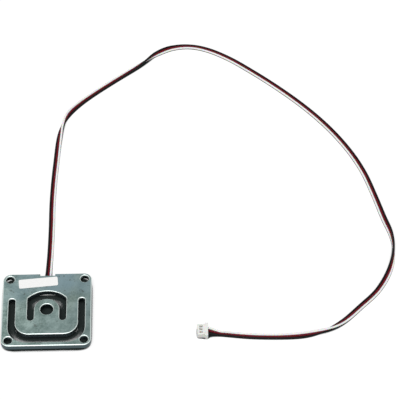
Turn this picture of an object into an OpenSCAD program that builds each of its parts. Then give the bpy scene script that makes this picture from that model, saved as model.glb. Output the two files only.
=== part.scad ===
// Flat half-bridge weight sensor: a stamped steel spring plate with two strain gauges sealed
// under it, and a three-wire ribbon that ends in a small crimp plug.
// Origin: centre of the plate, on the surface that the sensor stands on. The ribbon leaves along +Y.

/* [Spring plate] */
// Side to side
plate_w = 34; // [32:0.5:44]
// Front to rear
plate_d = 34; // [33:0.5:44]
// Thickness of the steel
plate_t = 2.2; // [1.5:0.1:4]
// Radius of the four corners
corner_r = 3; // [1:0.1:4]
// Diameter of the corner screw holes
corner_hole_d = 3.2; // [2:0.1:4]
// From the side edges to the centres of the corner holes
hole_inset = 2.7; // [2.5:0.1:3.5]
// Diameter of the centre hole, where the load foot sits
centre_hole_d = 4.9; // [3:0.1:6]
// Width of the cable notch in the rear edge
notch_w = 5.8; // [4:0.1:8]
// Depth of the cable notch
notch_d = 1.1; // [0.5:0.1:2]
// Radius that the punch rolls on the upper rims
rim_r = 0.6; // [0.3:0.05:0.7]

/* [Outer slot] */
// Steel left between the slot and the side edge
side_strip = 2.45; // [2:0.05:3.2]
// Steel left between the slot and the front edge
front_strip = 1.8; // [1.2:0.1:2.6]
// Width of the slot along the sides
side_slot_w = 2.5; // [1.5:0.1:2.8]
// Width of the slot across the front
front_slot_w = 3.5; // [2:0.1:4]
// From the rear edge to the ends of the slot
slot_to_rear = 11.9; // [9:0.1:16]
// Radius of the slot's outer corners
slot_corner_r = 7; // [5:0.1:8]
// Radius of the tongue's corners inside the slot
tongue_corner_r = 5.5; // [3:0.1:6]
// Radius at the slot's two ends
slot_end_r = 1; // [0.5:0.05:1.2]

/* [Arched slot] */
// Outer width of the arch
arch_w = 14.8; // [13:0.1:15.5]
// Width of its two legs
arch_slot_w = 2.5; // [1.5:0.1:2.6]
// From the centre hole back to the top of the arch
arch_top = 8.6; // [8:0.1:9]
// Radius of the shoulders, where the arch meets its legs
shoulder_r = 1; // [0.8:0.05:1.2]
// From the centre hole forward to the ends of the legs
arch_leg_end = 5.1; // [4.5:0.1:7]
// From the centre hole back to the tip of the load tab
tab_tip = 5; // [4.5:0.1:6]

/* [Label] */
// Length of the paper label
label_l = 15; // [10:0.5:16]
// Width of the paper label
label_w = 4.2; // [3:0.1:4.6]
// Thickness of the label
label_t = 0.1; // [0.05:0.01:0.2]
// Radius of its corners
label_r = 0.5; // [0.2:0.1:1]
// From the rear edge to its centre
label_to_rear = 4.35; // [4:0.05:5]
// How far it sits left of the middle
label_left = 3.5; // [0:0.1:4]
// How far it is turned
label_turn = 7; // [0:1:8]

/* [Gauges] */
// Width of a gauge's carrier film
film_w = 3.8; // [3.4:0.1:4.2]
// Length of the film
film_l = 7; // [6.5:0.1:8]
// Thickness of the film with its glue
film_t = 0.1; // [0.05:0.01:0.12]
// Thickness of the foil
foil_t = 0.05; // [0.02:0.01:0.06]
// Width of one line of the foil
foil_line_w = 0.2; // [0.15:0.01:0.25]
// Length of the foil's lines
foil_line_l = 4; // [3:0.1:4.5]
// Lines of foil in each grid
foil_lines = 8; // [4:2:8]
// Side of a square solder tab
tab_side = 1; // [0.8:0.05:1.1]
// From the sealant behind the arch forward to the left gauge's joints
joint_gap = 3.1; // [2.6:0.1:3.6]
// From the centre hole forward to the right gauge's joints
right_joint_y = 0.6; // [0:0.1:1]

/* [Sealant] */
// Height of the sealant under the plate
pad_h = 1.3; // [1.3:0.05:2]
// Clear steel left around the sealant on each side arm
pad_clear = 0.2; // [0.1:0.05:0.4]
// From the rear edge of the plate to the sealant
pad_to_rear = 1; // [0.5:0.1:1.4]
// Width of the sealant behind the arch
pad_w = 24.6; // [23.5:0.1:25]
// Front to rear of the sealant behind the arch
pad_bar_d = 7; // [6.8:0.1:7.4]
// From the centre hole forward to the ends of the sealant's arms
pad_arm_end = 8.6; // [8:0.1:9.5]
// Radius of the sealant's corners
pad_r = 1.4; // [0.5:0.1:2]

/* [Ribbon] */
// Diameter of one insulated wire
wire_d = 0.8; // [0.7:0.05:0.9]
// Diameter of the bared strands
strand_d = 0.35; // [0.3:0.05:0.4]
// Bared length at each joint
bared_l = 1.1; // [0.8:0.1:1.5]
// Diameter of the enamelled jumper wire
jumper_d = 0.3; // [0.2:0.05:0.4]
// Least gap between the jumper and the red wire
wire_clear = 0.2; // [0.1:0.05:0.3]
// How high the ribbon leaves the sealant above the floor
ribbon_lift = 0.12; // [0.05:0.01:0.2]

/* [Plug] */
// Length of the housing
plug_l = 4.1; // [4:0.1:6]
// Width of the housing between its ears
plug_w = 4.9; // [4.7:0.1:7]
// Height of the housing
plug_h = 2.6; // [2.4:0.1:3.4]
// Distance between neighbouring contacts
pitch = 1.25; // [1.2:0.05:1.35]
// How far the ear at each side stands out
ear_out = 0.5; // [0.2:0.05:0.6]
// Length of the ears at their full width, from the wire side
ear_l = 0.9; // [0.5:0.1:1.2]
// Length of the slope from each ear to the side of the housing
ear_slope = 0.6; // [0.3:0.1:1]
// Width of each contact cavity
cavity_w = 1; // [0.95:0.01:1.05]
// Height of each contact cavity
cavity_h = 1.3; // [1.2:0.05:1.5]
// Side of the square pin openings
pin_hole = 0.5; // [0.4:0.05:0.6]
// Wall in front of the cavities
front_wall = 0.5; // [0.4:0.05:0.6]
// Length of each contact window
window_l = 1.2; // [0.9:0.1:1.4]
// Length of a contact's box
contact_box_l = 1.9; // [1.7:0.1:2]
// Thickness of the contact's metal
contact_t = 0.15; // [0.1:0.01:0.2]
// Length of the barrel crimped round the strands
barrel_l = 1; // [0.8:0.1:1.2]
// How far a wire's insulation reaches into the housing
wire_in = 0.4; // [0.2:0.05:0.5]

/* [Hidden] */
$fn = 48;
over = 1; // how far a cutter runs past the face it cuts
rim_over = 0.2; // the same for the cutters along rims

plate_top = pad_h + plate_t;
tongue_w = plate_w - 2 * (side_strip + side_slot_w);
slot_front = -plate_d / 2 + front_strip;
slot_rear = plate_d / 2 - slot_to_rear;
tongue_front = slot_front + front_slot_w;
hole_x = plate_w / 2 - hole_inset;
hole_y = plate_d / 2 - hole_inset;
tab_w = arch_w - 2 * arch_slot_w;
// The arch spans 90 degrees and each shoulder the 45 degrees from there to its leg
shoulder_x = arch_w / 2 - shoulder_r;
arch_r = shoulder_r + shoulder_x * sqrt(2);
arch_mid = arch_top - arch_r;
shoulder_y = arch_mid + shoulder_x;
leg_x = (tab_w + arch_slot_w) / 2;

arm_w = (tongue_w - arch_w) / 2;
arm_x = (tongue_w + arch_w) / 4;
film_z = pad_h - film_t;
foil_z = film_z - foil_t;
joint_x = film_w / 2 - tab_side;
joint_h = foil_z - 0.35;
wire_z = wire_d / 2 + ribbon_lift;

pad_rear = plate_d / 2 - pad_to_rear;
pad_front = pad_rear - pad_bar_d;
left_joint_y = pad_front - joint_gap;
JOINTS = [[-arm_x - joint_x, left_joint_y], [-arm_x + joint_x, left_joint_y],
    [arm_x - joint_x, -right_joint_y], [arm_x + joint_x, -right_joint_y]];

ribbon_w = 3 * wire_d;
ribbon_start = pad_rear - 2.5;
plug_at = [61.2, -10.1, 0];
plug_turn = 180;
plug_mid_z = plug_h / 2;

// Where the ribbon lies: x, y, height of its underside above the floor, and its twist in degrees
ROUTE = [
    [0, ribbon_start, ribbon_lift, 0], [0.2, 20, 0.1, 0], [0.6, 30, 0, 0], [0.8, 42, 0, 0],
    [0.8, 54, 0, 0], [1.2, 66, 0, 0], [1.9, 77, 0, 0], [2.7, 88, 0, -20],
    [3.9, 95.5, 0, -70], [6.4, 102, 0, -130], [10.6, 107.8, 0, -170], [17, 114, 0, -180],
    [26, 121.6, 0, -180], [34, 128, 0, -200], [38.6, 131.8, 0, -240], [43.2, 135.6, 0, -290],
    [49.5, 139.2, 0, -340], [57, 140.2, 0, -360], [65, 138, 0, -360], [74, 132.6, 0, -360],
    [83, 125.2, 0, -360], [92, 117, 0, -360], [101, 107.9, 0, -360], [109, 98.6, 0, -360],
    [116, 88.8, 0, -360], [122, 78.2, 0, -360], [126.4, 67.6, 0, -360], [129.6, 56, 0, -360],
    [132.3, 44.5, 0, -345], [134.6, 35, 0, -300], [134.8, 26.5, 0, -260],
    [132.4, 17.4, 0, -210], [127.2, 8.2, 0, -184], [120, 0.6, 0, -180], [113, -6.2, 0, -165],
    [106.6, -10.2, 0, -115], [99, -12.4, 0, -50], [89.5, -12.8, 0, -6], [77.5, -12.3, 0, 0],
    [66.4, -10.9, 0, 0]];
ROUTE_START_DIR = [0, 1, 0, 0];
ROUTE_END_DIR = [-cos(7), sin(7), 0, 0];

// A smooth curve through points, with a given direction at each end
function blend(a, b, c, d, t) =
    0.5 * (2 * b + (c - a) * t + (2 * a - 5 * b + 4 * c - d) * t * t
    + (3 * b - a - 3 * c + d) * t * t * t);
function slope(a, b, c, d, t) =
    0.5 * ((c - a) + 2 * (2 * a - 5 * b + 4 * c - d) * t + 3 * (3 * b - a - 3 * c + d) * t * t);
function with_ends(points, dir_a, dir_b) = let (n = len(points),
    first = norm(points[1] - points[0]), last = norm(points[n - 1] - points[n - 2]))
    concat([points[1] - 2 * first * dir_a], points, [points[n - 2] + 2 * last * dir_b]);
function stations(points, dir_a, dir_b, steps) = let (q = with_ends(points, dir_a, dir_b))
    concat([for (i = [1 : len(q) - 3]) for (k = [0 : steps - 1])
        [blend(q[i - 1], q[i], q[i + 1], q[i + 2], k / steps),
         slope(q[i - 1], q[i], q[i + 1], q[i + 2], k / steps)]],
        [let (i = len(q) - 3) [q[i + 1], slope(q[i - 1], q[i], q[i + 1], q[i + 2], 1)]]);

// Flat cross-section of the ribbon, and round cross-sections of wires, each with 8 sides
function flat_section(w, h) = let (c = h / 4) [[w / 2, -c], [w / 2, c], [w / 2 - c, h / 2],
    [c - w / 2, h / 2], [-w / 2, c], [-w / 2, -c], [c - w / 2, -h / 2], [w / 2 - c, -h / 2]];
function round_section(d) = [for (a = [0 : 45 : 315]) d / 2 * [cos(a), sin(a)]];

// How far a section's lowest corner is below its middle at a given twist
function reach_down(section, twist) =
    max([for (q = section) -q[0] * sin(twist) - q[1] * cos(twist)]);

// One ring of a section at a station: at is x, y, z and twist
function ring(at, dir, section) = let (d = [dir[0], dir[1]] / norm([dir[0], dir[1]]),
    left = [-d[1], d[0], 0], up = [0, 0, 1],
    across = left * cos(at[3]) + up * sin(at[3]), over = up * cos(at[3]) - left * sin(at[3]))
    [for (q = section) [at[0], at[1], at[2]] + across * q[0] + over * q[1]];

module sweep(rings) {
    n = len(rings[0]);
    last = len(rings) - 1;
    polyhedron(points = [for (r = rings) for (p = r) p],
        faces = concat([[for (j = [0 : n - 1]) j]],
            [for (i = [0 : last - 1]) for (j = [0 : n - 1]) let (a = i * n + j,
                b = i * n + (j + 1) % n) each [[a, a + n, b + n], [a, b + n, b]]],
            [[for (j = [n - 1 : -1 : 0]) last * n + j]]));
}

RIBBON_SECTION = flat_section(ribbon_w, wire_d);
RIBBON_RINGS = [for (s = stations(ROUTE, ROUTE_START_DIR, ROUTE_END_DIR, 2))
    ring(s[0] + [0, 0, reach_down(RIBBON_SECTION, s[0][3]), 0], s[1], RIBBON_SECTION)];
RIBBON_END = ROUTE[len(ROUTE) - 1];

// Plans of the wires under the plate, from the ribbon out to the joints. The jumper keeps to the
// inner side of the sealant's arms and runs along the front of the stretch behind the arch.
jumper_x = arm_x - joint_x - (wire_d + jumper_d) / 2 - wire_clear;
jumper_y = pad_front + 0.5;
JUMPER_PLAN = [JOINTS[1] + [0.4, 0], [-jumper_x, left_joint_y + 1.5], [-jumper_x, jumper_y - 0.6],
    [-jumper_x + 0.5, jumper_y + 0.1], [-jumper_x + 1.5, jumper_y], [0, jumper_y],
    [jumper_x - 1.5, jumper_y], [jumper_x - 0.1, jumper_y - 0.15],
    [jumper_x + 0.75, jumper_y - 1.1], JOINTS[2] + [0, 3], JOINTS[2] + [0, 0.2]];
function inner_plan(lane) =
    lane == 1 ? [[-wire_d, ribbon_start], [-jumper_x + 3.5, jumper_y + 3.4],
        [-jumper_x - 0.9, jumper_y + 2.4], [-arm_x - joint_x, jumper_y + 0.4],
        JOINTS[0] + [0, bared_l]]
    : lane == 0 ? [[0, ribbon_start], [-jumper_x + 4.7, jumper_y + 1.8],
        [-jumper_x + 0.5, jumper_y + 1.2], JOINTS[1] + [0, joint_gap + 0.5],
        JOINTS[1] + [0, bared_l]]
    : [[wire_d, ribbon_start], [jumper_x - 3.5, jumper_y + 3.4], [jumper_x + 0.9, jumper_y + 2.4],
        [arm_x + joint_x, jumper_y], JOINTS[3] + [0, 5], JOINTS[3] + [0, bared_l]];

// Plan view outlines
module rounded_box(size, r) {
    for (x = [r, size[0] - r], y = [r, size[1] - r]) translate([x, y]) circle(r);
    translate([r, 0]) square([size[0] - 2 * r, size[1]]);
    translate([0, r]) square([size[0], size[1] - 2 * r]);
}

// A straight-sided shape with only its two front corners rounded
module front_rounded(w, front, rear, r) {
    for (x = [-w / 2 + r, w / 2 - r]) translate([x, front + r]) circle(r);
    translate([-w / 2 + r, front]) square([w - 2 * r, rear - front]);
    translate([-w / 2, front + r]) square([w, rear - front - r]);
}

module outer_slot() {
    legs_rear = slot_rear - slot_end_r;
    difference() {
        front_rounded(tongue_w + 2 * side_slot_w, slot_front, legs_rear, slot_corner_r);
        front_rounded(tongue_w, tongue_front, slot_rear + over, tongue_corner_r);
    }
    for (x = [-tongue_w / 2 - side_slot_w, tongue_w / 2])
        translate([x, slot_rear - 3 * slot_end_r]) rounded_box([side_slot_w, 3 * slot_end_r], slot_end_r);
}

module arched_slot() {
    leg_front = -arch_leg_end + arch_slot_w / 2;
    arc_end = arch_r * cos(45);
    difference() {
        union() {
            translate([-arch_w / 2, leg_front]) square([arch_w, shoulder_y - leg_front]);
            for (x = [-shoulder_x, shoulder_x]) translate([x, shoulder_y]) circle(shoulder_r);
            intersection() {
                translate([0, arch_mid]) circle(arch_r, $fn = 96);
                translate([-arc_end, shoulder_y - over]) square([2 * arc_end, arch_r]);
            }
        }
        translate([0, tab_tip - tab_w / 2]) circle(tab_w / 2);
        translate([-tab_w / 2, leg_front - over]) square([tab_w, tab_tip - tab_w / 2 - leg_front + over]);
    }
    for (x = [-leg_x, leg_x]) translate([x, leg_front]) circle(arch_slot_w / 2);
}

// Section that the punch rolls away at a rim, with the wall at x = 0 and the top face at y = 0
module rim_section() {
    middle = rim_r * cos(20);
    difference() {
        translate([-rim_over, -middle]) square(middle + rim_over);
        translate([middle, -middle]) circle(rim_r);
    }
}

// Rims along a straight wall with the steel on its left, and round an arc with the steel inside
// or outside it
module rim_line(a, b) {
    translate([a[0], a[1], plate_top]) rotate(atan2(b[1] - a[1], b[0] - a[0])) rotate([90, 0, 90])
        linear_extrude(norm(b - a)) rim_section();
}
module rim_inside(at, r, from, turn) {
    translate([at[0], at[1], plate_top]) rotate(from) rotate_extrude(angle = turn)
        translate([r, 0]) mirror([1, 0]) rim_section();
}
module rim_outside(at, r, from, turn) {
    translate([at[0], at[1], plate_top]) rotate(from) rotate_extrude(angle = turn)
        translate([r, 0]) rim_section();
}

module outline_rims() {
    w = plate_w / 2;
    d = plate_d / 2;
    r = corner_r;
    for (k = [[w - r, d - r, 0], [r - w, d - r, 90], [r - w, r - d, 180], [w - r, r - d, 270]])
        rim_inside([k[0], k[1]], r, k[2], 90);
    rim_line([r - w, -d], [w - r, -d]);
    rim_line([w, r - d], [w, d - r]);
    rim_line([w - r, d], [notch_w / 2, d]);
    rim_line([-notch_w / 2, d], [r - w, d]);
    rim_line([-w, d - r], [-w, r - d]);
}

module outer_slot_rims() {
    w = tongue_w / 2 + side_slot_w;
    r = slot_corner_r;
    t = tongue_corner_r;
    e = slot_end_r;
    rim_line([w - r, slot_front], [r - w, slot_front]);
    rim_line([-tongue_w / 2 + t, tongue_front], [tongue_w / 2 - t, tongue_front]);
    for (side = [-1, 1]) {
        wall = [side * w, side * tongue_w / 2];
        rim_outside([side * (w - r), slot_front + r], r, side > 0 ? 270 : 180, 90);
        rim_inside([side * (tongue_w / 2 - t), tongue_front + t], t, side > 0 ? 270 : 180, 90);
        left = side > 0 ? wall[1] : wall[0];
        right = side > 0 ? wall[0] : wall[1];
        rim_outside([left + e, slot_rear - e], e, 90, 90);
        rim_outside([right - e, slot_rear - e], e, 0, 90);
        rim_line([left + e, slot_rear], [right - e, slot_rear]);
    }
    rim_line([w, slot_rear - e], [w, slot_front + r]);
    rim_line([-w, slot_front + r], [-w, slot_rear - e]);
    rim_line([tongue_w / 2, tongue_front + t], [tongue_w / 2, slot_rear - e]);
    rim_line([-tongue_w / 2, slot_rear - e], [-tongue_w / 2, tongue_front + t]);
}

module arched_slot_rims() {
    leg_front = -arch_leg_end + arch_slot_w / 2;
    tab_rear = tab_tip - tab_w / 2;
    rim_outside([0, arch_mid], arch_r, 45, 90);
    rim_inside([0, tab_rear], tab_w / 2, 0, 180);
    for (side = [0, 1]) mirror([side, 0, 0]) {
        rim_outside([shoulder_x, shoulder_y], shoulder_r, 0, 45);
        rim_line([arch_w / 2, shoulder_y], [arch_w / 2, leg_front]);
        rim_outside([leg_x, leg_front], arch_slot_w / 2, 180, 180);
        rim_line([tab_w / 2, leg_front], [tab_w / 2, tab_rear]);
    }
}

module spring_plate() {
    color("lightslategray") difference() {
        plain_plate();
        outline_rims();
        outer_slot_rims();
        arched_slot_rims();
        rim_outside([0, 0], centre_hole_d / 2, 0, 360);
        for (x = [-hole_x, hole_x], y = [-hole_y, hole_y]) rim_outside([x, y], corner_hole_d / 2, 0, 360);
    }
}

module plain_plate() {
    difference() {
        translate([0, 0, pad_h]) linear_extrude(plate_t) difference() {
            translate([-plate_w / 2, -plate_d / 2]) rounded_box([plate_w, plate_d], corner_r);
            outer_slot();
            arched_slot();
            translate([-notch_w / 2, plate_d / 2 - notch_d]) square([notch_w, notch_d + over]);
        }
        for (x = [-hole_x, hole_x], y = [-hole_y, hole_y])
            translate([x, y, pad_h - over]) cylinder(h = plate_t + 2 * over, d = corner_hole_d);
        translate([0, 0, pad_h - over]) cylinder(h = plate_t + 2 * over, d = centre_hole_d);
    }
}

module label() {
    color("whitesmoke") translate([-label_left, plate_d / 2 - label_to_rear, plate_top])
        rotate(label_turn) translate([-label_l / 2, -label_w / 2])
        linear_extrude(label_t) rounded_box([label_l, label_w], label_r);
}

// A gauge's frame: its joints lie on the line y = 0 and its grid runs towards -Y
module gauge_left() { translate([-arm_x, left_joint_y, 0]) children(); }
module gauge_right() { translate([arm_x, -right_joint_y, 0]) children(); }

module gauge_film() {
    color("khaki") translate([-film_w / 2, tab_side / 2 + 0.1 - film_l, film_z])
        cube([film_w, film_l, film_t]);
}

module gauge_foil() {
    step = (film_w - tab_side) / foil_lines;
    grid_rear = -tab_side;
    color("goldenrod") translate([0, 0, foil_z]) linear_extrude(foil_t) {
        for (side = [-1, 1]) {
            translate([side * joint_x - tab_side / 2, -tab_side / 2]) square(tab_side);
            translate([side * (foil_lines - 1) / 2 * step - foil_line_w / 2, grid_rear])
                square([foil_line_w, -grid_rear]);
        }
        for (i = [0 : foil_lines - 1])
            translate([(i - (foil_lines - 1) / 2) * step - foil_line_w / 2, grid_rear - foil_line_l])
                square([foil_line_w, foil_line_l]);
        for (i = [0 : foil_lines - 2])
            translate([(i - (foil_lines - 1) / 2) * step - foil_line_w / 2,
                i % 2 == 0 ? grid_rear - foil_line_l : grid_rear - foil_line_w])
                square([step + foil_line_w, foil_line_w]);
    }
}

module wire_run(plan, z, d) {
    points = [for (p = plan) [p[0], p[1], z, 0]];
    n = len(points);
    end = points[n - 1] - points[n - 2];
    sweep([for (s = stations(points, [0, -1, 0, 0], end / norm(end), 3))
        ring(s[0], s[1], round_section(d))]);
}

module inner_wire(lane) {
    plan = inner_plan(lane);
    wire_run(plan, wire_z, wire_d);
    translate(concat(plan[len(plan) - 1], [wire_z])) rotate([90, 0, 0])
        cylinder(h = bared_l, d = strand_d, $fn = 24);
}

module inner_wire_black() { color("dimgray") inner_wire(1); }
module inner_wire_red() { color("firebrick") inner_wire(0); }
module inner_wire_white() { color("white") inner_wire(-1); }

module jumper_wire() {
    points = [for (p = JUMPER_PLAN) [p[0], p[1], wire_z, 0]];
    color("chocolate") sweep([for (s = stations(points, [cos(60), sin(60), 0, 0], [0, -1, 0, 0], 3))
        ring(s[0], s[1], round_section(jumper_d))]);
}

module solder_joints() {
    color("silver") difference() {
        for (p = JOINTS) translate([p[0], p[1], foil_z - joint_h])
            cylinder(h = joint_h, d1 = 0.6 * tab_side, d2 = 0.9 * tab_side, $fn = 24);
        inner_wire(1);
        inner_wire(0);
        inner_wire(-1);
        jumper_wire();
    }
}

module sealant() {
    color("ghostwhite") difference() {
        linear_extrude(pad_h) {
            translate([-pad_w / 2, pad_front]) rounded_box([pad_w, pad_bar_d], pad_r);
            for (x = [-arm_x, arm_x]) translate([x - arm_w / 2 + pad_clear, -pad_arm_end])
                rounded_box([arm_w - 2 * pad_clear, pad_front + 2 * pad_r + pad_arm_end], pad_r);
        }
        gauge_left() { gauge_film(); gauge_foil(); }
        gauge_right() { gauge_film(); gauge_foil(); }
        for (p = JOINTS) translate([p[0], p[1], foil_z - joint_h])
            cylinder(h = joint_h, d1 = 0.6 * tab_side, d2 = 0.9 * tab_side, $fn = 24);
        for (lane = [-1, 0, 1]) inner_wire(lane);
        jumper_wire();
        sweep([for (i = [0 : 4]) RIBBON_RINGS[i]]);
    }
}

module ribbon_cable() {
    color("firebrick") sweep(RIBBON_RINGS);
}

// The plug's frame: wires come in at x = 0 and it mates at x = plug_l
module at_plug() { translate(plug_at) rotate(plug_turn) children(); }

module plug_wire(lane) {
    away = ROUTE_END_DIR;
    left = [-away[1], away[0], 0, 0];
    start = [RIBBON_END[0], RIBBON_END[1], wire_d / 2, 0] + left * lane * wire_d;
    end = concat(plug_at[0] - lane * pitch * sin(plug_turn), plug_at[1] + lane * pitch * cos(plug_turn),
        plug_mid_z, 0);
    sweep([for (s = stations([start, (start + end) / 2, end], away,
        [cos(plug_turn), sin(plug_turn), 0, 0], 3)) ring(s[0], s[1], round_section(wire_d))]);
    at_plug() translate([0, lane * pitch, plug_mid_z]) rotate([0, 90, 0]) {
        cylinder(h = wire_in, d = wire_d, $fn = 8);
        cylinder(h = wire_in + barrel_l, d = strand_d, $fn = 24);
    }
}

module plug_wire_black() { color("dimgray") plug_wire(1); }
module plug_wire_red() { color("firebrick") plug_wire(0); }
module plug_wire_white() { color("white") plug_wire(-1); }

module plug_housing() {
    edge = 0.3;
    cavity_l = plug_l - front_wall;
    window_x = cavity_l - contact_box_l + (contact_box_l - window_l) / 2;
    color("white") at_plug() difference() {
        union() {
            translate([0, -plug_w / 2, 0]) rotate([90, 0, 90]) linear_extrude(plug_l)
                polygon([[edge, 0], [plug_w - edge, 0], [plug_w, edge], [plug_w, plug_h - edge],
                    [plug_w - edge, plug_h], [edge, plug_h], [0, plug_h - edge], [0, edge]]);
            linear_extrude(plug_h) for (side = [-1, 1]) scale([1, side])
                polygon([[0, 0], [ear_l + ear_slope, 0], [ear_l + ear_slope, plug_w / 2 - edge],
                    [ear_l, plug_w / 2 + ear_out], [0, plug_w / 2 + ear_out]]);
        }
        for (lane = [-1, 0, 1]) translate([0, lane * pitch, plug_mid_z]) {
            translate([-over, -cavity_w / 2, -cavity_h / 2]) cube([cavity_l + over, cavity_w, cavity_h]);
            translate([0, -pin_hole / 2, -pin_hole / 2]) cube([plug_l + over, pin_hole, pin_hole]);
            translate([window_x, -cavity_w / 2, 0]) cube([window_l, cavity_w, plug_h]);
        }
    }
}

// A folded box that grips the pin, and a barrel crimped round the wire
module contact(lane) {
    cavity_l = plug_l - front_wall;
    box_h = cavity_h - 2 * 0.05;
    box_w = cavity_w - 2 * 0.05;
    color("gold") at_plug() translate([0, lane * pitch, plug_mid_z]) difference() {
        union() {
            translate([cavity_l - contact_box_l, -box_w / 2, -box_h / 2]) cube([contact_box_l, box_w, box_h]);
            translate([wire_in, -strand_d, -cavity_h / 2])
                cube([cavity_l - contact_box_l - wire_in + contact_t, 2 * strand_d, contact_t]);
            translate([wire_in, 0, 0]) rotate([0, 90, 0])
                cylinder(h = barrel_l, d = strand_d + 2 * contact_t, $fn = 24);
            translate([wire_in, -contact_t, -cavity_h / 2])
                cube([barrel_l, 2 * contact_t, cavity_h / 2 - strand_d / 2]);
        }
        translate([cavity_l - contact_box_l + contact_t, contact_t - box_w / 2, contact_t - box_h / 2])
            cube([contact_box_l, box_w - 2 * contact_t, box_h - 2 * contact_t]);
        translate([wire_in - over, 0, 0]) rotate([0, 90, 0])
            cylinder(h = barrel_l + over, d = strand_d, $fn = 24);
    }
}

spring_plate();
label();
gauge_left() gauge_film();  // gauge_film_left
gauge_right() gauge_film();  // gauge_film_right
gauge_left() gauge_foil();  // gauge_foil_left
gauge_right() gauge_foil();  // gauge_foil_right
solder_joints();
jumper_wire();
inner_wire_black();
inner_wire_red();
inner_wire_white();
sealant();
ribbon_cable();
plug_wire_black();
plug_wire_red();
plug_wire_white();
plug_housing();
contact(1);  // contact_black
contact(0);  // contact_red
contact(-1);  // contact_white
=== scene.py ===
import math
import bmesh
import bpy
from mathutils import Matrix, Vector


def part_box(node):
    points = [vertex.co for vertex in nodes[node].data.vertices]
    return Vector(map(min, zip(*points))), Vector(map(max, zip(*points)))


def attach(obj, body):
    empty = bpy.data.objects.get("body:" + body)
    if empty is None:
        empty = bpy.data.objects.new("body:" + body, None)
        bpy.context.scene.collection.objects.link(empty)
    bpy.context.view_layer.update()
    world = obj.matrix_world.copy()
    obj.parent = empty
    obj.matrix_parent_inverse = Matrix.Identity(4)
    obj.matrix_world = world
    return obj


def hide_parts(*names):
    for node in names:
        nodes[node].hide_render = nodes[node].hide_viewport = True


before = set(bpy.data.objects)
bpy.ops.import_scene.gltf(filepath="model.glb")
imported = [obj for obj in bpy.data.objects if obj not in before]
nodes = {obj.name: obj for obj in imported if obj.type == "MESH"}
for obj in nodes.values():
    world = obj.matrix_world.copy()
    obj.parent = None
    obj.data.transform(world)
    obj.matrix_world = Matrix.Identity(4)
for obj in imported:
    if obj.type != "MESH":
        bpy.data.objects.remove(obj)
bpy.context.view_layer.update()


def linearColor(code):  # "#8a9a9b" to the linear values that a socket takes
    parts = [int(code[i:i + 2], 16) / 255 for i in (1, 3, 5)]
    return tuple(c / 12.92 if c <= 0.04045 else ((c + 0.055) / 1.055) ** 2.4 for c in parts) + (1,)


def addNode(tree, kind, settings=None, links=None):  # one shader node with its values and what feeds it
    node = tree.nodes.new(kind)
    for key, value in (settings or {}).items():
        if isinstance(key, int) or key in node.inputs:
            node.inputs[key].default_value = value
        else:
            setattr(node, key, value)
    for key, socket in (links or {}).items():
        tree.links.new(socket, node.inputs[key])
    return node


# A material with its shader, and Object coordinates for its patterns
def startMaterial(name, shaderSettings):
    material = bpy.data.materials.new(name)
    material.use_nodes = True
    tree = material.node_tree
    tree.nodes.clear()
    shader = addNode(tree, "ShaderNodeBsdfPrincipled", shaderSettings)
    addNode(tree, "ShaderNodeOutputMaterial", {}, {"Surface": shader.outputs["BSDF"]})
    coords = addNode(tree, "ShaderNodeTexCoord").outputs["Object"]
    return material, tree, shader, coords


def rampColors(ramp, stops):  # stops are (place, hex colour)
    elements = ramp.color_ramp.elements
    while len(elements) < len(stops):
        elements.new(0.5)
    for element, (place, code) in zip(elements, stops):
        element.position = place
        element.color = linearColor(code)


# Lengths are in metres and angles in degrees, but the lens is in millimetres.
# Camera: a long lens that looks down on the sensor from the front
cameraSetup = {
    "lens": 180,
    "target": (0.05966, 0.05248, 0.0035),
    "distance": 0.7958,
    "elevation": 50.35,
    "turn": 1.37,
}


def makeCamera(setup):
    elevation = math.radians(setup["elevation"])
    turn = math.radians(setup["turn"])
    ahead = Vector((math.sin(turn) * math.cos(elevation), math.cos(turn) * math.cos(elevation),
                    -math.sin(elevation)))
    camera = bpy.data.objects.new("camera", bpy.data.cameras.new("camera"))
    camera.data.lens = setup["lens"]
    camera.location = Vector(setup["target"]) - ahead * setup["distance"]
    camera.rotation_euler = ahead.to_track_quat("-Z", "Y").to_euler()
    bpy.context.scene.collection.objects.link(camera)
    bpy.context.scene.camera = camera


makeCamera(cameraSetup)
print("camera placed")


# A bmesh becomes a piece that rides on the part
def finishPiece(bm, name, materials, smoothAngle=None):
    mesh = bpy.data.meshes.new(name)
    bm.to_mesh(mesh)
    bm.free()
    for material in materials:
        mesh.materials.append(material)
    piece = bpy.data.objects.new(name, mesh)
    bpy.context.scene.collection.objects.link(piece)
    mesh.shade_smooth()
    if smoothAngle is not None:
        mesh.set_sharp_from_angle(angle=math.radians(smoothAngle))
        even = piece.modifiers.new("flatFacesStayFlat", "WEIGHTED_NORMAL")
        even.keep_sharp = True
    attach(piece, "root")
    return piece


# How a CAD node's loose triangles are joined
merging = {
    "weld": 0.000002,  # corners nearer than this become one
    "flatAngle": 0.5,  # faces that bend by less, in degrees, become one
}


def mergedCopy(node):  # a CAD node's triangles as one closed mesh with flat faces joined
    bm = bmesh.new()
    bm.from_mesh(nodes[node].data)
    bmesh.ops.remove_doubles(bm, verts=bm.verts, dist=merging["weld"])
    bmesh.ops.dissolve_limit(bm, angle_limit=math.radians(merging["flatAngle"]), verts=bm.verts,
                             edges=bm.edges)
    return bm


# White nylon, injection moulded: satin, a little milky
def mouldedNylon():
    material, tree, shader, coords = startMaterial(
        "mouldedNylon", {"Roughness": 0.42, "IOR": 1.53, "Subsurface Weight": 0.15,
                         "Subsurface Scale": 0.0005})
    milk = addNode(tree, "ShaderNodeTexNoise", {"Scale": 700, "Detail": 2}, {"Vector": coords})  # 1.4 mm
    tint = addNode(tree, "ShaderNodeValToRGB", {}, {"Fac": milk.outputs["Fac"]})
    rampColors(tint, [(0.3, "#e9e9e5"), (0.7, "#f2f2ef")])
    tree.links.new(tint.outputs["Color"], shader.inputs["Base Color"])
    return material


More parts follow.
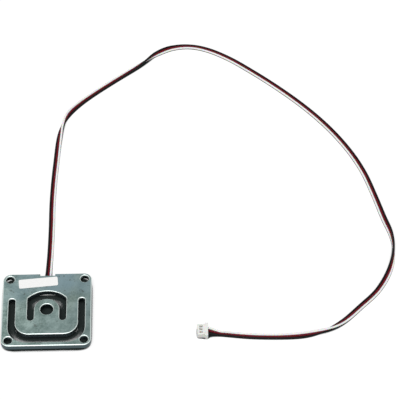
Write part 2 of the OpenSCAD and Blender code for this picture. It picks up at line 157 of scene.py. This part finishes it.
# Plug: a moulded housing with softened edges
plugHousing = {
    "edge": 0.0001,
    "segments": 2,
    "sharpAbove": 30,   # outer edges that bend by more are softened
    "smoothAngle": 35,
}


def makePlug(housing):
    bm = mergedCopy("plug_housing")
    sharp = [edge for edge in bm.edges if edge.is_manifold and edge.is_convex
             and edge.calc_face_angle() > math.radians(housing["sharpAbove"])]
    bmesh.ops.bevel(bm, geom=sharp, offset=housing["edge"], offset_type="OFFSET", affect="EDGES",
                    segments=housing["segments"], profile=0.5, material=-1, clamp_overlap=True)
    piece = finishPiece(bm, "plugHousing", [mouldedNylon()], housing["smoothAngle"])
    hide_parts("plug_housing")
    return piece


plug = makePlug(plugHousing)
print("plug softened")


# Soft PVC insulation, extruded over the wire: smooth and satin, with a faint unevenness. White PVC
# lets some light through, which is what seeThrough gives it. The specular level is low, because the
# photo's wires hardly mirror the white around them
def pvcInsulation(name, pale, deep, roughness, seeThrough=0):
    material, tree, shader, coords = startMaterial(
        name, {"IOR": 1.53, "Specular IOR Level": 0.1, "Roughness": roughness,
               "Subsurface Weight": seeThrough, "Subsurface Scale": 0.0006})
    cloudy = addNode(tree, "ShaderNodeTexNoise", {"Scale": 160, "Detail": 3}, {"Vector": coords})  # 6 mm
    tint = addNode(tree, "ShaderNodeValToRGB", {}, {"Fac": cloudy.outputs["Fac"]})
    rampColors(tint, [(0.35, deep), (0.65, pale)])
    tree.links.new(tint.outputs["Color"], shader.inputs["Base Color"])
    skin = addNode(tree, "ShaderNodeTexNoise", {"Scale": 2500, "Detail": 4}, {"Vector": coords})  # 0.4 mm
    bump = addNode(tree, "ShaderNodeBump", {"Strength": 0.15, "Distance": 0.00005},
                   {"Height": skin.outputs["Fac"]})
    tree.links.new(bump.outputs["Normal"], shader.inputs["Normal"])
    return material


# Tinned copper strand: bright, twisted by the stranding. A wave of 1800 repeats every 0.35 mm
def tinnedStrand():
    material, tree, shader, coords = startMaterial("tinnedCopperStrand", {"Metallic": 1, "Roughness": 0.3})
    twist = addNode(tree, "ShaderNodeTexWave",
                    {"Scale": 1800, "Distortion": 0.6, "bands_direction": "DIAGONAL"}, {"Vector": coords})
    tint = addNode(tree, "ShaderNodeValToRGB", {}, {"Fac": twist.outputs["Fac"]})
    rampColors(tint, [(0.1, "#8f8a82"), (0.7, "#c9c6c0")])
    tree.links.new(tint.outputs["Color"], shader.inputs["Base Color"])
    return material


whiteInsulation = pvcInsulation("whitePvcInsulation", "#fafaf8", "#f2f1ef", 0.38, 0.3)
redInsulation = pvcInsulation("redPvcInsulation", "#6d1420", "#5c0f19", 0.42)
blackInsulation = pvcInsulation("blackPvcInsulation", "#110e10", "#0b090a", 0.45)
strandMetal = tinnedStrand()

# Ribbon: three wires side by side, from inside the sealant to inside the plug
ribbonCable = {
    "wireWidth": 0.0008,       # over the insulation
    "bond": 0.00001,           # how far two neighbours run into each other
    "sides": 14,
    "stepsPerSpan": 14,
    "partingSteps": 8,         # for each half of the stretch where the wires part
    "strandWidth": 0.00035,
    "strandLength": 0.001,     # bared length inside the plug
    "insulationIn": 0.0004,    # how far the insulation reaches into the plug
    "plug": (0.0612, -0.0101, 0.0013),
    "pitch": 0.00125,          # between the plug's contacts
    "endTurn": 7,              # how far the ribbon's end is turned from the plug's axis
    "exit": (0, 0.016, 0.00052),
    "length": 0.4,
}

# Where it lies: x, y and height of its underside in metres, and its twist in degrees
route = [
    (0, 0.0135, 0.00012, 0), (0.0002, 0.02, 0.0001, 0), (0.0006, 0.03, 0, 0), (0.0008, 0.042, 0, 0),
    (0.0008, 0.054, 0, 0), (0.0012, 0.066, 0, 0), (0.0019, 0.077, 0, 0), (0.0027, 0.088, 0, -20),
    (0.0039, 0.0955, 0, -70), (0.0064, 0.102, 0, -130), (0.0106, 0.1078, 0, -170), (0.017, 0.114, 0, -180),
    (0.026, 0.1216, 0, -180), (0.034, 0.128, 0, -200), (0.0386, 0.1318, 0, -240), (0.0432, 0.1356, 0, -290),
    (0.0495, 0.1392, 0, -340), (0.057, 0.1402, 0, -360), (0.065, 0.138, 0, -360), (0.074, 0.1326, 0, -360),
    (0.083, 0.1252, 0, -360), (0.092, 0.117, 0, -360), (0.101, 0.1079, 0, -360), (0.109, 0.0986, 0, -360),
    (0.116, 0.0888, 0, -360), (0.122, 0.0782, 0, -360), (0.1264, 0.0676, 0, -360), (0.1296, 0.056, 0, -360),
    (0.1323, 0.0445, 0, -345), (0.1346, 0.035, 0, -300), (0.1348, 0.0265, 0, -260),
    (0.1324, 0.0174, 0, -210), (0.1272, 0.0082, 0, -184), (0.12, 0.0006, 0, -180), (0.113, -0.0062, 0, -165),
    (0.1066, -0.0102, 0, -115), (0.099, -0.0124, 0, -50), (0.0895, -0.0128, 0, -6), (0.0775, -0.0123, 0, 0),
    (0.0664, -0.0109, 0, 0),
]


# Points and directions along a smooth curve that goes through the given points
def smoothLine(points, startDirection, endDirection, steps):
    points = [Vector(p) for p in points]
    before = points[1] - 2 * (points[1] - points[0]).length * Vector(startDirection)
    after = points[-2] + 2 * (points[-1] - points[-2]).length * Vector(endDirection)
    q = [before] + points + [after]
    line = []
    for i in range(1, len(q) - 2):
        a, b, c, d = q[i - 1:i + 3]
        last = i == len(q) - 3
        for k in range(steps + 1 if last else steps):
            t = k / steps
            square = 2 * a - 5 * b + 4 * c - d
            cube = 3 * b - a - 3 * c + d
            place = 0.5 * (2 * b + (c - a) * t + square * t ** 2 + cube * t ** 3)
            slope = 0.5 * ((c - a) + 2 * square * t + 3 * cube * t ** 2)
            line.append((place, slope))
    return line


def stationMatrix(place, direction, twist, lane):  # the frame of one wire's round section
    along = Vector((direction[0], direction[1], 0)).normalized()
    left = Vector((-along.y, along.x, 0))
    up = Vector((0, 0, 1))
    across = left * math.cos(twist) + up * math.sin(twist)
    over = up * math.cos(twist) - left * math.sin(twist)
    centre = Vector(place[:3]) + across * lane
    return Matrix.Translation(centre) @ Matrix((across, over, along)).transposed().to_4x4()


def routeStations(cable):  # place, direction and twist of the flat ribbon
    turn = math.radians(cable["endTurn"])
    line = smoothLine(route, (0, 1, 0, 0), (-math.cos(turn), math.sin(turn), 0, 0), cable["stepsPerSpan"])
    stations = []
    for place, slope in line:
        twist = math.radians(place[3])
        middle = place[2] + cable["wireWidth"] * (0.5 + abs(math.sin(twist)))
        stations.append((Vector((place[0], place[1], middle)), slope, twist))
    return stations


def wireStations(cable, side):  # side is 1 for the wire on the left, 0 in the middle and -1 on the right
    spacing = cable["wireWidth"] - cable["bond"]
    flat = [stationMatrix(place, slope, twist, side * spacing)
            for place, slope, twist in routeStations(cable)]
    turn = math.radians(cable["endTurn"])
    start = flat[-1].translation
    plug = Vector(cable["plug"]) + Vector((0, -side * cable["pitch"], 0))
    parting = smoothLine([start, (start + plug) / 2, plug], (-math.cos(turn), math.sin(turn), 0),
                         (-1, 0, 0), cable["partingSteps"])
    apart = [stationMatrix(place, slope, 0, 0) for place, slope in parting[1:]]
    inside = apart[-1].copy()
    inside.translation = plug + Vector((-cable["insulationIn"], 0, 0))
    return flat + apart + [inside]


def sweepWire(bm, stations, radius, sides):  # a disc that is extruded from station to station
    start = bmesh.ops.create_circle(bm, cap_ends=True, radius=radius, segments=sides, matrix=stations[0])
    edges = list({edge for vert in start["verts"] for edge in vert.link_edges})
    for here, there in zip(stations, stations[1:]):
        grown = bmesh.ops.extrude_edge_only(bm, edges=edges)["geom"]
        verts = [part for part in grown if isinstance(part, bmesh.types.BMVert)]
        ring = set(verts)
        edges = [part for part in grown if isinstance(part, bmesh.types.BMEdge) and set(part.verts) <= ring]
        bmesh.ops.transform(bm, matrix=there @ here.inverted(), verts=verts)
    return bmesh.ops.contextual_create(bm, geom=edges)["faces"]


def makeRibbon(cable):
    insulations = [blackInsulation, redInsulation, whiteInsulation]  # from left to right
    bm = bmesh.new()
    for paint, side in enumerate((1, 0, -1)):
        known = set(bm.faces)
        end = sweepWire(bm, wireStations(cable, side), cable["wireWidth"] / 2, cable["sides"])
        for face in set(bm.faces) - known:
            face.material_index = paint
        bmesh.ops.inset_region(bm, faces=end, thickness=(cable["wireWidth"] - cable["strandWidth"]) / 2)
        bared = bmesh.ops.extrude_face_region(bm, geom=end)["geom"]
        bmesh.ops.delete(bm, geom=end, context="FACES_ONLY")
        verts = [part for part in bared if isinstance(part, bmesh.types.BMVert)]
        bmesh.ops.translate(bm, vec=(-cable["strandLength"], 0, 0), verts=verts)
        for vert in verts:
            for face in vert.link_faces:
                face.material_index = len(insulations)
    bmesh.ops.recalc_face_normals(bm, faces=bm.faces)
    ribbon = finishPiece(bm, "ribbon", insulations + [strandMetal])
    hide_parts("ribbon_cable", "plug_wire_black", "plug_wire_red", "plug_wire_white")
    centreLine = [place for place, slope, twist in routeStations(cable)]
    centreLine += [m.translation for m in wireStations(cable, 0)[len(centreLine):]]


makeRibbon(ribbonCable)
print("ribbon swept")


# Which edges make a rim
rims = {
    "bend": 40,         # their faces bend by more than this, in degrees
    "level": 0.000001,  # their ends lie within this of one height
}


def rimEdges(bm, height):  # sharp edges that lie at one height
    return [edge for edge in bm.edges
            if edge.is_manifold and edge.calc_face_angle() > math.radians(rims["bend"])
            and all(abs(vert.co.z - height) < rims["level"] for vert in edge.verts)]


# Mild steel, blanked and zinc plated with a blue-clear finish: dull metal, clouded and finely grained
springPlate = {
    "burr": 0.00006,             # the lower rims are nearly sharp
    "smoothAngle": 35,
    "zincPale": "#9cb0ab",
    "zincDeep": "#5b706b",
    "zincBlue": "#798f97",       # the passivation's blue clouds, most of them at the rear
    "zincRightShade": "#5d6964",       # painted shade: greyer towards the right side
    "zincSpot": "#4a504c",       # small dull spots
    "zincRimHighlight": "#ccd6d3",        # painted highlight along the rims that the punch rolled
    "zincShearedAndShaded": "#48565a",       # torn and dull where the punch sheared it, and darker still as painted shade
    "grain": 0.0006,             # size of the plating's grain
    "clouds": 0.0045,            # size of its clouds
    "blueClouds": 0.014,
    "spots": 0.0014,
    "grainShare": 0.35,          # of the pattern, and the clouds are the rest
    "halfWidth": 0.017,          # from the middle to the sides
    "rightShadeShare": 0.55,           # of the painted shade, at the right side
    "blueFront": -0.006,         # where along the plate the blue begins
    "blueRear": 0.012,           # and where it is at its strongest
    "blueShares": (0.15, 0.8),   # its share at those two places
    "spotShare": 0.6,            # in the middle of a spot
    "roughness": (0.3, 0.46),    # where the pattern is darkest, and where palest
    "bumpStrength": 0.25,
    "bumpHeight": 0.00004,       # of the grain
}


def blendColors(tree, amount, first, second):  # first where amount is 0, second where it is 1
    pair = {6: first, 7: second}  # a Mix node's colours go in at 6 and 7 and come out at 2
    fixed = {key: value for key, value in pair.items() if isinstance(value, tuple)}
    fed = {key: value for key, value in pair.items() if key not in fixed}
    mix = addNode(tree, "ShaderNodeMix", {"data_type": "RGBA", **fixed}, {0: amount, **fed})
    return mix.outputs[2]


# Noise seldom strays far from 0.5: the tint and the blue clouds follow its middle, and the spots its
# rare peaks. The painted highlight on rolled rims, and the walls' sheared dullness with painted shade, go by
# how steep the surface is
def zincPlate(plate):
    material, tree, shader, coords = startMaterial("zincPlatedSteel", {"Metallic": 1})
    clouds = addNode(tree, "ShaderNodeTexNoise",
                     {"Scale": 1 / plate["clouds"], "Detail": 4, "Roughness": 0.6}, {"Vector": coords})
    grain = addNode(tree, "ShaderNodeTexNoise",
                    {"Scale": 1 / plate["grain"], "Detail": 3, "Roughness": 0.65}, {"Vector": coords})
    both = addNode(tree, "ShaderNodeMix", {"data_type": "FLOAT", "Factor": plate["grainShare"]},
                   {"A": clouds.outputs["Fac"], "B": grain.outputs["Fac"]})
    tint = addNode(tree, "ShaderNodeValToRGB", {}, {"Fac": both.outputs["Result"]})
    rampColors(tint, [(0.38, plate["zincDeep"]), (0.62, plate["zincPale"])])
    place = addNode(tree, "ShaderNodeSeparateXYZ", {}, {"Vector": coords})
    side = addNode(tree, "ShaderNodeMapRange",
                   {"From Min": -plate["halfWidth"], "From Max": plate["halfWidth"],
                    "To Max": plate["rightShadeShare"]}, {"Value": place.outputs["X"]})
    # painted shade: the plate turns greyer towards its right side
    rightShaded = blendColors(tree, side.outputs["Result"], tint.outputs["Color"], linearColor(plate["zincRightShade"]))
    blue = addNode(tree, "ShaderNodeTexNoise", {"Scale": 1 / plate["blueClouds"], "Detail": 2},
                   {"Vector": coords})
    rear = addNode(tree, "ShaderNodeMapRange",
                   {"From Min": plate["blueFront"], "From Max": plate["blueRear"],
                    "To Min": plate["blueShares"][0], "To Max": plate["blueShares"][1]},
                   {"Value": place.outputs["Y"]})
    blueShare = addNode(tree, "ShaderNodeMapRange", {"From Min": 0.4, "From Max": 0.65},
                        {"Value": blue.outputs["Fac"], "To Max": rear.outputs["Result"]})
    clouded = blendColors(tree, blueShare.outputs["Result"], rightShaded, linearColor(plate["zincBlue"]))
    spots = addNode(tree, "ShaderNodeTexNoise", {"Scale": 1 / plate["spots"], "Detail": 1},
                    {"Vector": coords})
    spotShare = addNode(tree, "ShaderNodeMapRange",
                        {"From Min": 0.66, "From Max": 0.74, "To Max": plate["spotShare"]},
                        {"Value": spots.outputs["Fac"]})
    spotted = blendColors(tree, spotShare.outputs["Result"], clouded, linearColor(plate["zincSpot"]))
    normal = addNode(tree, "ShaderNodeNewGeometry").outputs["Normal"]
    upright = addNode(tree, "ShaderNodeSeparateXYZ", {}, {"Vector": normal}).outputs["Z"]
    slant = addNode(tree, "ShaderNodeMath", {"operation": "ABSOLUTE"}, {0: upright})  # 1 flat, 0 on a wall
    # painted highlight on the rims, where the surface turns from flat to steep
    rimHighlightMask = addNode(tree, "ShaderNodeValToRGB", {}, {"Fac": slant.outputs["Value"]})
    rampColors(rimHighlightMask, [(0.2, "#000000"), (0.4, "#ffffff"), (0.93, "#ffffff"), (0.985, "#000000")])
    rimHighlighted = blendColors(tree, rimHighlightMask.outputs["Color"], spotted, linearColor(plate["zincRimHighlight"]))
    # the walls: dull from the shear, and darker as painted shade
    shearedAndShadedMask = addNode(tree, "ShaderNodeMapRange", {"From Min": 0.3, "From Max": 0.1},
                      {"Value": slant.outputs["Value"]})
    finished = blendColors(tree, shearedAndShadedMask.outputs["Result"], rimHighlighted, linearColor(plate["zincShearedAndShaded"]))
    tree.links.new(finished, shader.inputs["Base Color"])
    dull = addNode(tree, "ShaderNodeMapRange",
                   {"To Min": plate["roughness"][0], "To Max": plate["roughness"][1]},
                   {"Value": both.outputs["Result"]})
    tree.links.new(dull.outputs["Result"], shader.inputs["Roughness"])
    bump = addNode(tree, "ShaderNodeBump",
                   {"Strength": plate["bumpStrength"], "Distance": plate["bumpHeight"]},
                   {"Height": grain.outputs["Fac"]})
    tree.links.new(bump.outputs["Normal"], shader.inputs["Normal"])
    return material


def makePlate(plate):
    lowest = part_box("spring_plate")[0].z
    bm = mergedCopy("spring_plate")
    bmesh.ops.bevel(bm, geom=rimEdges(bm, lowest), offset=plate["burr"], offset_type="OFFSET",
                    affect="EDGES", segments=1, profile=0.5, material=-1, clamp_overlap=True)
    piece = finishPiece(bm, "springPlate", [zincPlate(plate)], plate["smoothAngle"])
    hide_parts("spring_plate")


makePlate(springPlate)
print("plate made")


# Label: a bare die-cut sticker, a little askew
paperLabel = {
    "length": 0.015,
    "width": 0.0042,
    "thickness": 0.0001,
    "corner": 0.0006,
    "cornerSteps": 6,
    "turn": 5.2,
    "smoothAngle": 40,
    "paperPale": "#fdfdfc",
    "paperDeep": "#f6f6f4",
}


# Uncoated paper: matt and white, with a faint fibre of about half a millimetre
def labelPaper(label):
    material, tree, shader, coords = startMaterial("labelPaper", {"Roughness": 0.85, "IOR": 1.45})
    fibre = addNode(tree, "ShaderNodeTexNoise", {"Scale": 2200, "Detail": 5, "Roughness": 0.7},
                    {"Vector": coords})
    tint = addNode(tree, "ShaderNodeValToRGB", {}, {"Fac": fibre.outputs["Fac"]})
    rampColors(tint, [(0.3, label["paperDeep"]), (0.6, label["paperPale"])])
    tree.links.new(tint.outputs["Color"], shader.inputs["Base Color"])
    bump = addNode(tree, "ShaderNodeBump", {"Strength": 0.3, "Distance": 0.00002},
                   {"Height": fibre.outputs["Fac"]})
    tree.links.new(bump.outputs["Normal"], shader.inputs["Normal"])
    return material


def makeLabel(label):
    low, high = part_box("label")
    bm = bmesh.new()
    bmesh.ops.create_grid(bm, x_segments=1, y_segments=1, size=0.5)
    bmesh.ops.scale(bm, vec=(label["length"], label["width"], 1), verts=bm.verts)
    bmesh.ops.bevel(bm, geom=bm.verts, offset=label["corner"], offset_type="OFFSET", affect="VERTICES",
                    segments=label["cornerSteps"], profile=0.5, material=-1, clamp_overlap=True)
    raised = bmesh.ops.extrude_face_region(bm, geom=bm.faces)["geom"]
    verts = [part for part in raised if isinstance(part, bmesh.types.BMVert)]
    bmesh.ops.translate(bm, vec=(0, 0, label["thickness"]), verts=verts)
    middle = Vector(((low.x + high.x) / 2, (low.y + high.y) / 2, low.z))
    askew = Matrix.Rotation(math.radians(label["turn"]), 4, "Z")
    bmesh.ops.transform(bm, matrix=Matrix.Translation(middle) @ askew, verts=bm.verts)
    bmesh.ops.recalc_face_normals(bm, faces=bm.faces)
    piece = finishPiece(bm, "paperLabel", [labelPaper(label)], label["smoothAngle"])
    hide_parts("label")


makeLabel(paperLabel)
print("label stuck on")


# White silicone sealant, spread by hand and cured: satin, slightly lumpy
def siliconeSealant():
    material, tree, shader, coords = startMaterial("siliconeSealant", {"Roughness": 0.42, "IOR": 1.41})
    lumps = addNode(tree, "ShaderNodeTexNoise", {"Scale": 500, "Detail": 3}, {"Vector": coords})  # 2 mm
    tint = addNode(tree, "ShaderNodeValToRGB", {}, {"Fac": lumps.outputs["Fac"]})
    rampColors(tint, [(0.3, "#dcdedc"), (0.7, "#ebecea")])
    tree.links.new(tint.outputs["Color"], shader.inputs["Base Color"])
    bump = addNode(tree, "ShaderNodeBump", {"Strength": 0.5, "Distance": 0.0002},
                   {"Height": lumps.outputs["Fac"]})
    tree.links.new(bump.outputs["Normal"], shader.inputs["Normal"])
    return material


# Tin plate on phosphor bronze: bright, with soft grey clouds
def tinPlate():
    material, tree, shader, coords = startMaterial("tinPlatedBronze", {"Metallic": 1, "Roughness": 0.28})
    clouds = addNode(tree, "ShaderNodeTexNoise", {"Scale": 1500, "Detail": 3}, {"Vector": coords})  # 0.7 mm
    tint = addNode(tree, "ShaderNodeValToRGB", {}, {"Fac": clouds.outputs["Fac"]})
    rampColors(tint, [(0.3, "#a9a6a0"), (0.7, "#c8c5be")])
    tree.links.new(tint.outputs["Color"], shader.inputs["Base Color"])
    return material


# Polyimide film, cast: amber and clear, over the steel
def polyimideFilm():
    material, tree, shader, coords = startMaterial("polyimideFilm", {"Roughness": 0.25, "IOR": 1.7})
    clouds = addNode(tree, "ShaderNodeTexNoise", {"Scale": 900, "Detail": 2}, {"Vector": coords})  # 1.1 mm
    tint = addNode(tree, "ShaderNodeValToRGB", {}, {"Fac": clouds.outputs["Fac"]})
    rampColors(tint, [(0.3, "#a8741f"), (0.7, "#bd8a33")])
    tree.links.new(tint.outputs["Color"], shader.inputs["Base Color"])
    return material


# Etched copper-nickel foil: pale warm metal, matt from the etching, which is drawn at 0.17 mm and so
# coarser than it is
def etchedFoil():
    material, tree, shader, coords = startMaterial("etchedCopperNickel", {"Metallic": 1, "Roughness": 0.4})
    etch = addNode(tree, "ShaderNodeTexNoise", {"Scale": 6000, "Detail": 2}, {"Vector": coords})
    tint = addNode(tree, "ShaderNodeValToRGB", {}, {"Fac": etch.outputs["Fac"]})
    rampColors(tint, [(0.3, "#b39a76"), (0.7, "#cdb48f")])
    tree.links.new(tint.outputs["Color"], shader.inputs["Base Color"])
    return material


# Tin solder, set from the melt: bright and smooth, with frosted patches
def tinSolder():
    material, tree, shader, coords = startMaterial("tinSolder", {"Metallic": 1})
    frost = addNode(tree, "ShaderNodeTexNoise", {"Scale": 3000, "Detail": 3}, {"Vector": coords})  # 0.3 mm
    tint = addNode(tree, "ShaderNodeValToRGB", {}, {"Fac": frost.outputs["Fac"]})
    rampColors(tint, [(0.3, "#b5b5b4"), (0.7, "#cfcfce")])
    tree.links.new(tint.outputs["Color"], shader.inputs["Base Color"])
    dull = addNode(tree, "ShaderNodeMapRange", {"To Min": 0.12, "To Max": 0.4},
                   {"Value": frost.outputs["Fac"]})
    tree.links.new(dull.outputs["Result"], shader.inputs["Roughness"])
    return material


# Enamelled copper: drawn wire under a clear brown varnish
def enamelledCopper():
    material, tree, shader, coords = startMaterial(
        "enamelledCopper", {"Metallic": 1, "Roughness": 0.3, "Coat Weight": 0.8, "Coat Roughness": 0.08})
    varnish = addNode(tree, "ShaderNodeTexNoise", {"Scale": 1200, "Detail": 2}, {"Vector": coords})  # 0.8 mm
    tint = addNode(tree, "ShaderNodeValToRGB", {}, {"Fac": varnish.outputs["Fac"]})
    rampColors(tint, [(0.3, "#8a4a24"), (0.7, "#a85c2f")])
    tree.links.new(tint.outputs["Color"], shader.inputs["Base Color"])
    return material


# Sealant: its lower edge is drawn round where the bead meets the table
siliconeBead = {
    "edge": 0.0001,
    "segments": 3,
    "sliver": 0.000001,  # edges shorter than this are closed up
    "smoothAngle": 35,
}


def makeSealant(bead):
    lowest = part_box("sealant")[0].z
    bm = mergedCopy("sealant")
    bmesh.ops.bevel(bm, geom=rimEdges(bm, lowest), offset=bead["edge"], offset_type="OFFSET",
                    affect="EDGES", segments=bead["segments"], profile=0.5, material=-1,
                    clamp_overlap=True)
    bmesh.ops.triangulate(bm, faces=bm.faces)
    bmesh.ops.dissolve_degenerate(bm, dist=bead["sliver"], edges=bm.edges)
    piece = finishPiece(bm, "siliconeBead", [siliconeSealant()], bead["smoothAngle"])
    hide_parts("sealant")


makeSealant(siliconeBead)
print("sealant drawn")

# The CAD nodes that stay as they are get these
tinnedContact = tinPlate()
gaugeFilm = polyimideFilm()
gaugeFoil = etchedFoil()
nodeMaterials = {
    "gauge_film_left": gaugeFilm,
    "gauge_film_right": gaugeFilm,
    "gauge_foil_left": gaugeFoil,
    "gauge_foil_right": gaugeFoil,
    "solder_joints": tinSolder(),
    "jumper_wire": enamelledCopper(),
    "inner_wire_black": blackInsulation,
    "inner_wire_red": redInsulation,
    "inner_wire_white": whiteInsulation,
    "contact_black": tinnedContact,
    "contact_red": tinnedContact,
    "contact_white": tinnedContact,
}
for name, material in nodeMaterials.items():
    nodes[name].data.materials.clear()
    nodes[name].data.materials.append(material)
print("materials assigned")

# Floor and light: a pale table under one broad soft light from above, and a weaker light from all round
studio = {
    "floorColor": "#a5a5a5",
    "floorPaintedShade": "#2b3231",  # painted shade under the plate, where hardly any light gets, tinted green as a painted reflection of the plate
    "floorGlow": 0.7,          # for what looks at the table only, so that it reads as white
    "hollowReach": 0.012,      # how near a thing has to be to shade the table under it
    "hollowDark": 0.49,        # share of open sky at which the table is quite dark
    "hollowPale": 0.6,         # and at which it is quite pale
    "hollowSamples": 64,       # more of them make that shade smoother
    "floorSize": 4,
    "worldLevel": 0.38,
    "lampLevel": 1.95,
    "lampAngle": 60,           # how broad it looks from the table
    "lampLean": 25,            # how far it leans to the front
    "lampTurn": -10,           # how far that lean is turned to the left
}


def makeFloor(setup):
    bm = bmesh.new()
    bmesh.ops.create_grid(bm, x_segments=1, y_segments=1, size=setup["floorSize"] / 2)
    mesh = bpy.data.meshes.new("floor")
    bm.to_mesh(mesh)
    bm.free()
    floor = bpy.data.objects.new("floor", mesh)
    bpy.context.scene.collection.objects.link(floor)
    material, tree, shader = startMaterial("paintedTable", {"Roughness": 0.9, "Specular IOR Level": 0.1})[:3]
    shader.inputs["Emission Color"].default_value = (1, 1, 1, 1)
    path = addNode(tree, "ShaderNodeLightPath")
    seen = addNode(tree, "ShaderNodeMath", {"operation": "MAXIMUM"},
                   {0: path.outputs["Is Camera Ray"], 1: path.outputs["Is Glossy Ray"]})
    # painted shade: where the plate is close, the table turns dark and greenish as a painted reflection of
    # the plate, and its glow fades
    sky = addNode(tree, "ShaderNodeAmbientOcclusion",
                  {"samples": setup["hollowSamples"], "Distance": setup["hollowReach"]})
    paint = addNode(tree, "ShaderNodeValToRGB", {}, {"Fac": sky.outputs["AO"]})
    rampColors(paint, [(setup["hollowDark"], setup["floorPaintedShade"]),
                       (setup["hollowPale"], setup["floorColor"])])
    tree.links.new(paint.outputs["Color"], shader.inputs["Base Color"])
    openFloor = addNode(tree, "ShaderNodeMapRange",
                        {"From Min": setup["hollowDark"], "From Max": setup["hollowPale"]},
                        {"Value": sky.outputs["AO"]})
    glow = addNode(tree, "ShaderNodeMath", {"operation": "MULTIPLY", 1: setup["floorGlow"]},
                   {0: openFloor.outputs["Result"]})
    shown = addNode(tree, "ShaderNodeMath", {"operation": "MULTIPLY"},
                    {0: seen.outputs["Value"], 1: glow.outputs["Value"]})
    tree.links.new(shown.outputs["Value"], shader.inputs["Emission Strength"])
    mesh.materials.append(material)


def makeWorld(setup):
    world = bpy.data.worlds.new("studio")
    bpy.context.scene.world = world
    world.use_nodes = True
    tree = world.node_tree
    tree.nodes.clear()
    path = addNode(tree, "ShaderNodeLightPath")
    direct = addNode(tree, "ShaderNodeMath", {"operation": "MAXIMUM"},
                     {0: path.outputs["Is Camera Ray"], 1: path.outputs["Is Glossy Ray"]})
    seen = addNode(tree, "ShaderNodeMath", {"operation": "MAXIMUM"},
                   {0: direct.outputs["Value"], 1: path.outputs["Is Transmission Ray"]})
    level = addNode(tree, "ShaderNodeMapRange", {"To Min": setup["worldLevel"], "To Max": 1},
                    {"Value": seen.outputs["Value"]})
    background = addNode(tree, "ShaderNodeBackground", {"Color": (1, 1, 1, 1)},
                         {"Strength": level.outputs["Result"]})
    addNode(tree, "ShaderNodeOutputWorld", {}, {"Surface": background.outputs["Background"]})


def makeLamp(setup):
    lamp = bpy.data.lights.new("overheadLamp", "SUN")
    lamp.energy = setup["lampLevel"]
    lamp.angle = math.radians(setup["lampAngle"])
    overhead = bpy.data.objects.new("overheadLamp", lamp)
    overhead.rotation_euler = (math.radians(setup["lampLean"]), 0, math.radians(setup["lampTurn"]))
    bpy.context.scene.collection.objects.link(overhead)


makeFloor(studio)
makeWorld(studio)
makeLamp(studio)
bpy.context.scene.view_settings.view_transform = "Standard"
print("studio lit")
